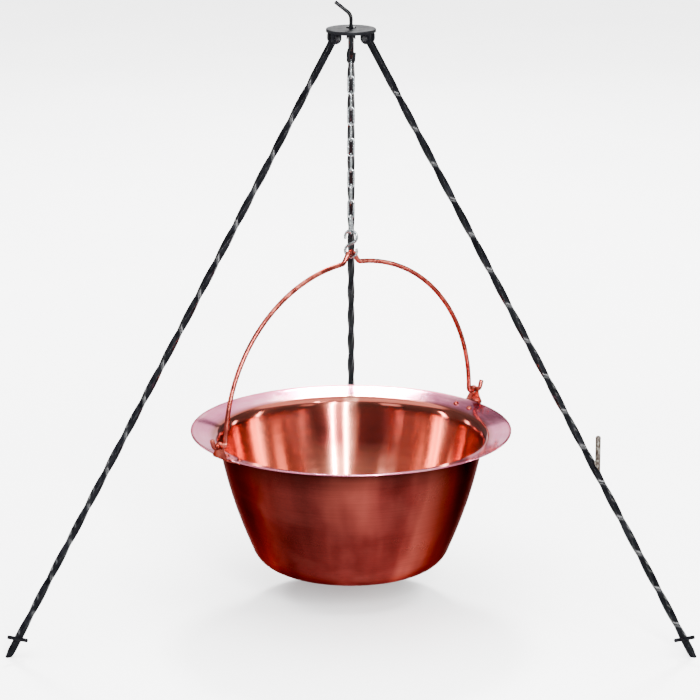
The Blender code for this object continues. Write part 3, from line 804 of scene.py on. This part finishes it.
def make_bolts(finish):
    """Hinge bolts with turned hexagon heads and cut threads, each in a locking nut."""
    face = EAR_SLOT / 2 + EAR_THICKNESS + GAP
    end = face + NUT_HEIGHT + 0.002
    crest = BOLT_RADIUS * 0.98
    root = BOLT_RADIUS * 0.86
    for side in SIDES:
        lie = across(hinge_frame(side))
        head = place(f"hinge_bolt_head_{side}",
                     skin(hex_rings(-face - HEX_HEAD, -face, True, False), "head", 30), lie)
        profile = [(crest, -face - HEX_HEAD / 2), (crest, face)]
        for k in range(int((end - face) / THREAD_PITCH)):
            z = face + k * THREAD_PITCH
            profile += [(root, z + THREAD_PITCH * 0.25), (crest, z + THREAD_PITCH * 0.75)]
        profile += [(BOLT_RADIUS * 0.80, end - 0.0002), (BOLT_RADIUS * 0.7, end)]
        carve(head, turned("shank", profile, 40, 30), lie, "UNION")
        dress(head, "head", finish, "fastener_black", "hinge_bolt_" + side)
        nut = place(f"lock_nut_{side}",
                    skin(hex_rings(face, face + NUT_HEIGHT, False, True), "nut", 30), lie)
        carve(nut, turned("bore", [(BOLT_HOLE, 0), (BOLT_HOLE, 0.04)], 40), lie)
        dress(nut, "head", finish, "fastener_black", "hinge_nut_" + side)


# ---------------------------------------------------------------- hook and chain

def hook_points():
    """From the bent handle end down through the plate and round the bowl to the tip."""
    bend = PLATE_TOP + HANDLE_BEND
    points = [Vector((-HANDLE_REACH, 0, bend + HANDLE_REACH / math.tan(HANDLE_SLOPE)))]
    points += bezier([(-0.006, bend + 0.006), (0, bend), (0, bend - 0.008)], 12)
    side = BOWL_RADIUS
    low = BOWL_HEIGHT + BOWL_RADIUS
    points += bezier([(0, low + 0.034), (0, low + 0.020), (-side, low + 0.026),
                      (-side, low + 0.010)], 20)
    points += arc((0, low), side, 180, 360, 24)
    points += [Vector((side + 0.0003, 0, low + 0.006)), Vector((side + 0.0015, 0, low + 0.015))]
    return points


def hook_width(point):
    """The rod keeps its full size to just under the plate, then is drawn down to the bowl."""
    thick = PLATE_BOTTOM - 0.010
    thin = BOWL_HEIGHT + BOWL_RADIUS + 0.030
    share = min(max((point[2] - thin) / (thick - thin), 0), 1)
    return (BOWL_ROD + (ROD_RADIUS - BOWL_ROD) * share) / ROD_RADIUS


def make_hook(paint):
    points = hook_points()
    widths = [hook_width(point) for point in points]
    hook = bar("hanging_hook", points, ROD_RADIUS * PLAY, on_axis(), sides=8, widths=widths)
    lie = on_axis(PLATE_TOP + PIN_RADIUS + GAP) @ Matrix.Rotation(math.pi / 2, 4, "Y")
    drill(hook, PIN_RADIUS + 0.00015, 0.01, lie, 24)
    dress(hook, "hook", paint, "black_paint", "hook_rod")
    points = [(0, 0, PIN_LENGTH * (k / 4 - 0.5)) for k in range(5)]
    pin = bar("split_cross_pin", points, PIN_RADIUS, lie)
    dress(pin, "hook", paint, "black_paint", "cross_pin")


def link_yaw(number):
    """Every second link lies crosswise, and the last ones turn a little after the S-hook."""
    return math.pi / 2 * (number % 2) + LINK_TWIST * max(0, number - TWISTED_FROM + 1)


def make_chain(finish):
    """Welded links, each turned a quarter round from the one above, with a weld on one side."""
    half = (LINK_WIDTH - WIRE) / 2
    steps = 18
    for number in range(1, LINKS + 1):
        node = f"chain_link_{number:02d}"
        low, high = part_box(node)
        length = high.z - low.z - WIRE
        points = arc((0, half), half, 180, 360, steps)
        straight = length - 2 * half
        right = [Vector((half, 0, half + straight * k / 8)) for k in range(1, 8)]
        crown = arc((0, length - half), half, 0, 180, steps)
        left = [Vector((-half, 0, length - half - straight * k / 8)) for k in range(1, 8)]
        points += right + crown + left
        widths = [PLAY] * len(points)
        # the thicker weld is on the right side, or on the left of every third link
        middle = steps + 1 + 3 if number % 3 else len(points) - 4
        for offset, size in ((-1, 1.06), (0, 1.13), (1, 1.06)):
            widths[middle + offset] = size
        turn = Matrix.Rotation(link_yaw(number), 4, "Z")
        link = bar(f"link_{number:02d}", points, WIRE / 2, on_axis(low.z + WIRE / 2) @ turn,
                   closed=True, widths=widths)
        dress(link, node, finish, "galvanised_steel", node)


def make_s_hook(finish):
    """Two open loops joined by the straight line that touches both."""
    low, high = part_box("s_hook")
    upper = high.z - S_WIRE / 2 - S_LOOP
    lower = low.z + S_WIRE / 2 + S_LOOP
    touch = math.degrees(math.acos(min(1.0, 2 * S_LOOP / (upper - lower))))
    points = arc((0, upper), S_LOOP, 205, -90 + touch, 40)
    points += arc((0, lower), S_LOOP, 90 + touch, 385, 40)
    turn = Matrix.Rotation(S_YAW, 4, "Z")
    hook = bar("bent_s_hook", points, S_WIRE / 2 * PLAY, on_axis() @ turn, sides=8)
    dress(hook, "s_hook", finish, "galvanised_steel", "s_hook")


# ---------------------------------------------------------------- kettle

def bail_half():
    """Half of the bail in its own XZ plane, from the peak to the bent end at +X."""
    peak = BAIL_PEAK - PIVOT_HEIGHT
    bend = BAIL_BEND
    top = bend + ARCH_RADIUS
    join = math.degrees(math.acos(PEAK_HALF_WIDTH / ARCH_RADIUS))
    shoulder = bend + ARCH_RADIUS * math.sin(math.radians(join))
    points = bezier([(0, peak), (0.013, peak), (0.013, top - 0.0008),
                     (PEAK_HALF_WIDTH, shoulder)], 24)
    points += arc((0, bend), ARCH_RADIUS, join, 0, 60)[1:]
    points += arc((ARCH_RADIUS + bend, bend), bend, 180, 270, 10)[1:]
    outer = EAR_PLANE + 0.009
    points += arc((outer, bend), bend, -90, -18, 10)
    lift = math.radians(72)
    points.append(points[-1] + BAIL_END * Vector((math.cos(lift), 0, math.sin(lift))))
    return points


def make_bail(finish):
    half = bail_half()
    mirrored = [Vector((-p.x, 0, p.z)) for p in reversed(half[1:])]
    turn = Matrix.Rotation(BAIL_YAW, 4, "Z")
    hoop = bar("bail_hoop", mirrored + half, BAIL_ROD / 2 * PLAY, on_axis(PIVOT_HEIGHT) @ turn,
               sides=10)
    dress(hoop, "bail", finish, "copper_rod", "bail")


def wall_line():
    """Middle line of the kettle's sheet, (r, z) from the bottom's centre to the rim."""
    rim = RIM_RADIUS - BEAD_RADIUS
    start = FLARE_START
    drop = -FLARE_SLOPE * (rim - start)
    curves = bezier([BASE, (0.192, BASE[1]), BELLY], 16)
    curves += bezier([BELLY, (0.252, -0.140), NECK], 40)[1:]
    curves += bezier([NECK, (0.2755, -0.0149), (start, drop)], 10)[1:]
    line = [(BASE[0] * k / 12, BASE[1]) for k in range(1, 12)]
    line += [(p.x, p.z) for p in curves]
    line += [(start + (rim - start) * k / 8, drop * (1 - k / 8)) for k in range(1, 9)]
    return [(r, z + RIM_HEIGHT) for r, z in line]


def kettle_rings():
    """The sheet's closed profile as (r, z, inside, flare), from the bottom up and back."""
    line = wall_line()
    outer = offset_line(line, -WALL / 2)
    inner = offset_line(line, WALL / 2)
    end = line[-1]
    slope = math.degrees(math.atan(FLARE_SLOPE))
    rim_bead = [
        (end[0] + BEAD_RADIUS * math.cos(a), end[1] + BEAD_RADIUS * math.sin(a), 0.5, 0.6)
        for a in (math.radians(slope + t) for t in range(-120, 121, 20))
    ]
    neck = line[-10][0]

    def on_flare(r):
        """The lip's colour, its painted reflection with it, comes in over the first 12 mm from
        the neck.
        """
        return min(1.0, max(0.0, (r - neck) / 0.012))

    below = [(r, z, 0.0, 0.0) for r, z in outer[:-1]]
    above = [(r, z, 1.0, on_flare(r)) for r, z in reversed(inner[:-1])]
    return below + rim_bead + above


def wobble(r, angle, z):
    """Slight unevenness that spinning and planishing leave in the sheet."""
    spot = Vector((math.cos(angle) * 1.5, math.sin(angle) * 1.5, z * 3.0))
    rings = math.sin(z * 260.0) * 0.00002
    return 0.0004 * noise.noise(spot) * min(1.0, r / 0.1) + rings


def make_kettle(finish):
    """A spun copper bowl with a rolled rim and a wide flare."""
    profile = kettle_rings()
    bm = bmesh.new()
    inside = bm.verts.layers.float.new("inside")
    flare = bm.verts.layers.float.new("flare")
    rings = []
    for r, z, within, lip in profile:
        ring = []
        for k in range(KETTLE_SEGMENTS):
            a = math.tau * k / KETTLE_SEGMENTS
            settle = 0.0 if lip else wobble(r, a, z)
            vert = bm.verts.new(((r + settle) * math.cos(a), (r + settle) * math.sin(a), z))
            vert[inside] = within
            vert[flare] = lip
            ring.append(vert)
        rings.append(ring)
    poles = []
    for ring in (rings[0], rings[-1]):
        pole = bm.verts.new((0, 0, ring[0].co.z))
        pole[inside] = ring[0][inside]
        poles.append(pole)
    for k in range(KETTLE_SEGMENTS):
        n = (k + 1) % KETTLE_SEGMENTS
        bm.faces.new((poles[0], rings[0][n], rings[0][k]))
        bm.faces.new((poles[1], rings[-1][k], rings[-1][n]))
        for lower, upper in zip(rings, rings[1:]):
            bm.faces.new((lower[k], lower[n], upper[n], upper[k]))
    kettle = place("spun_kettle", from_bmesh(bm, "spun_kettle", 40), on_axis())
    dress(kettle, "kettle", finish, "copper_sheet", "kettle")


def flare_height(r):
    """Height of the flare's middle surface at a radius."""
    return RIM_HEIGHT - FLARE_SLOPE * (RIM_RADIUS - BEAD_RADIUS - r)


def ear_frame(turn):
    return on_axis() @ Matrix.Rotation(turn, 4, "Z")


def rivet_frame(turn, side):
    """On the flare's middle surface at a rivet, with Z square to it."""
    tilt = Matrix.Rotation(-math.atan(FLARE_SLOPE), 4, "Y")
    at = Matrix.Translation((RIVET_CIRCLE, 0, flare_height(RIVET_CIRCLE)))
    return ear_frame(turn + side * math.asin(RIVET_SPREAD / RIVET_CIRCLE)) @ at @ tilt


def ear_mesh():
    """A plate bent up from under the flare: wide at its foot, rounded over the bail's hole."""
    under = EAR_BELOW + EAR_PLATE / 2
    inner = 0.288               # where the strip starts
    corner = 0.008              # length of the strip's rounded end
    waist = 0.317               # where the strip starts to narrow
    bend = EAR_PLANE - 0.005
    bend_from = bend - 0.004
    low = flare_height(bend) - under
    foot = low + 0.0060         # lower end of the upright
    foot_half, top_half = 0.0230, 0.0134
    # (r, z, half width) along the strip's end, the strip, the bend, the upright and its top
    stations = []
    for k in range(7):
        a = math.radians(15 * k)
        r = inner + corner * (1 - math.cos(a))
        stations.append((r, flare_height(r) - under, 0.0195 + 0.009 * math.sin(a)))
    for k in range(1, 9):
        r = inner + corner + (bend_from - inner - corner) * k / 8
        narrow = 0.0040 * max(0.0, (r - waist) / (bend_from - waist))
        stations.append((r, flare_height(r) - under, 0.0285 - narrow))
    for k in range(1, 8):
        a = math.radians(90 * k / 8)
        stations.append((bend_from + 0.009 * math.sin(a),
                         low - 0.0004 + 0.0064 * (1 - math.cos(a)), 0.0240 - 0.001 * k / 8))
    for k in range(6):
        t = k / 5
        width = foot_half - (foot_half - top_half) * math.sin(math.pi / 2 * t)
        stations.append((EAR_PLANE, foot + (PIVOT_HEIGHT - foot) * t, width))
    for k in range(1, 9):
        a = math.radians(80 * k / 8)
        stations.append((EAR_PLANE, PIVOT_HEIGHT + 0.0098 * math.sin(a), top_half * math.cos(a)))
    line = [(r, z) for r, z, _ in stations]
    rings = []
    for out, back, (_, _, width) in zip(offset_line(line, -EAR_PLATE / 2),
                                        offset_line(line, EAR_PLATE / 2), stations):
        rings.append([(out[0], -width, out[1]), (out[0], width, out[1]),
                      (back[0], width, back[1]), (back[0], -width, back[1])])
    return skin(rings, "ear", 40)


def make_ears(finish):
    for name, turn in EAR_TURNS.items():
        ear = place(f"bail_ear_{name}", ear_mesh(), ear_frame(turn))
        at = Matrix.Translation((EAR_PLANE, 0, PIVOT_HEIGHT))
        lie = ear_frame(turn) @ at @ Matrix.Rotation(math.pi / 2, 4, "Y")
        drill(ear, BAIL_ROD / 2 + 0.0005, 0.02, lie, 40)
        soften(ear, 0.0005)
        dress(ear, "kettle", finish, "copper_rod", "ear_" + name)


def rivet_mesh():
    """A planished domed head above the flare, and the set end under the ear."""
    above = WALL / 2 + GAP
    below = -(EAR_BELOW + EAR_PLATE + 0.0007)
    head = 0.0058               # radius of the domed head
    end = 0.0054                # radius of the set end
    profile = [(0.0030, below - 0.0018), (0.0045, below - 0.0015), (end, below - 0.0006)]
    profile += [(end, below), (RIVET_RADIUS, below), (RIVET_RADIUS, above), (head, above)]
    for turn in range(10, 86, 12):
        a = math.radians(turn)
        profile.append((head * math.cos(a), above + 0.0034 * math.sin(a)))
    return turned("rivet", profile, 36, 40)


def make_rivets(finish):
    for name, turn in EAR_TURNS.items():
        for number, side in enumerate((-1, 1), 1):
            rivet = place(f"ear_rivet_{name}_{number}", rivet_mesh(), rivet_frame(turn, side))
            dress(rivet, "kettle", finish, "copper_rod", f"rivet_{name}_{number}")


# ---------------------------------------------------------------- studio

def make_floor():
    bm = bmesh.new()
    reach = 30.0
    cells = 24
    rows = [
        [bm.verts.new((reach * (2 * i / cells - 1), reach * (2 * j / cells - 1), 0))
         for i in range(cells + 1)]
        for j in range(cells + 1)
    ]
    for lower, upper in zip(rows, rows[1:]):
        for k in range(cells):
            bm.faces.new((lower[k], lower[k + 1], upper[k + 1], upper[k]))
    floor = place("studio_floor", from_bmesh(bm, "studio_floor"))
    made, tree, shader = new_finish("studio_floor", 0.0)
    soft = grain(tree, (1.5, 1.5, 1.5), 3)
    pale = ramp(tree, soft, [(0.3, (0.86, 0.86, 0.865)), (0.7, (0.89, 0.89, 0.89))])
    # metal mirrors a darker ground, as if the pale floor ended just outside the picture
    mirrored = add(tree, "LightPath").outputs["Is Glossy Ray"]
    colour = blend_colours(tree, mirrored, pale, (0.22, 0.22, 0.22))
    feed(tree, shader.inputs["Base Color"], colour)
    shader.inputs["Roughness"].default_value = 0.9
    shader.inputs["Specular IOR Level"].default_value = 0.1
    floor.data.materials.append(made)


def softbox(name, azimuth, elevation, size, radiance, colour=(1.0, 1.0, 1.0), away=6.0):
    """An area light aimed at the kettle, its azimuth in degrees from the front to the right."""
    middle = Vector((AXIS.x, AXIS.y, 0.35))
    turn, rise = math.radians(azimuth), math.radians(elevation)
    way = Vector((math.sin(turn) * math.cos(rise), -math.cos(turn) * math.cos(rise),
                  math.sin(rise)))
    at = middle + way * away
    data = bpy.data.lights.new(name, "AREA")
    data.shape = "RECTANGLE"
    data.size, data.size_y = size
    data.energy = radiance * math.pi * size[0] * size[1]
    data.color = colour
    light = linked(name, data)
    light.location = at
    light.rotation_mode = "QUATERNION"
    light.rotation_quaternion = (middle - at).to_track_quat("-Z", "Y")
    light.visible_camera = False


def make_lights():
    """Strips, cloths and boxes of light round a dim room, each seen in one part of the copper."""
    softbox("front_strip", 5, 20, (0.20, 4.0), 150)
    softbox("front_strip_right", 17, 20, (0.15, 4.0), 560)
    softbox("front_fill", 10, 20, (1.4, 4.0), 3)
    softbox("front_cloth_left", -38, 28, (1.8, 1.8), 4.5, (0.90, 0.94, 1.0))
    softbox("front_cloth_right", 42, 28, (1.2, 1.8), 2.0)
    softbox("side_box_right", 92, 14, (0.30, 2.4), 75, (1.0, 0.97, 0.92))
    softbox("side_box_left", -92, 14, (0.30, 2.4), 85, (0.95, 0.97, 1.0))
    softbox("rear_box_right", 125, 8, (0.5, 1.6), 26)
    softbox("rear_box_left", -125, 8, (0.5, 1.6), 24)
    softbox("back_cloth_high", 167, 34, (1.9, 2.4), 1.8, (0.95, 0.93, 1.0))
    softbox("back_cloth_low", 176, 12, (3.0, 1.7), 1.9, (0.95, 0.93, 1.0))
    softbox("back_spot", 180, 46, (1.0, 0.6), 450)
    softbox("key", 38, 52, (0.35, 0.35), 190, away=5.5)


def make_world():
    """A dim room with a bright ceiling, seen as one even, pale tone behind the scene."""
    world = bpy.data.worlds.new("studio")
    bpy.context.scene.world = world
    world.use_nodes = True
    tree = world.node_tree
    sky = tree.nodes["Background"]
    where = add(tree, "TexCoord").outputs["Generated"]
    height = add(tree, "SeparateXYZ", Vector=where).outputs["Z"]
    studio = ramp(tree, height, [(0.0, 0.019), (0.36, 0.026), (0.60, 0.036), (0.72, 0.05),
                                 (0.80, 1.0)])
    # the ceiling lights the scene fully but is dimmed where metal mirrors it
    path = add(tree, "LightPath")
    ceiling = ramp(tree, height, [(0.70, 1.0), (0.80, 0.3)])
    dimmed = multiply_colours(tree, studio, ceiling)
    studio = blend_colours(tree, path.outputs["Is Glossy Ray"], studio, dimmed)
    tint = blend_colours(tree, path.outputs["Is Camera Ray"], studio, (0.42, 0.42, 0.42))
    feed(tree, sky.inputs["Color"], tint)
    sky.inputs["Strength"].default_value = 10.5


def make_camera():
    """In front of the tripod, 2.28 m up and 6.54 m away, looking down by 15 degrees."""
    data = bpy.data.cameras.new("view")
    data.sensor_width = 36
    data.lens = 169.25
    data.clip_end = 200
    data.shift_x = -0.0014285714
    camera = linked("view", data)
    camera.location = (AXIS.x, AXIS.y - 6.54, 2.279)
    camera.rotation_euler = (math.radians(90 - 15.01), 0, 0)
    bpy.context.scene.camera = camera


def build():
    make_camera()
    make_floor()
    make_lights()
    make_world()
    black = black_paint()
    charcoal = plate_paint()
    make_legs(black)
    make_stops(black)
    make_peg(bare_steel())
    make_plate(charcoal)
    make_brackets(charcoal)
    make_bolts(fastener_black())
    make_hook(black)
    zinc = galvanised()
    make_chain(zinc)
    make_s_hook(zinc)
    make_kettle(copper_sheet())
    rose = copper_rod()
    make_bail(rose)
    make_ears(rose)
    make_rivets(rose)


build()
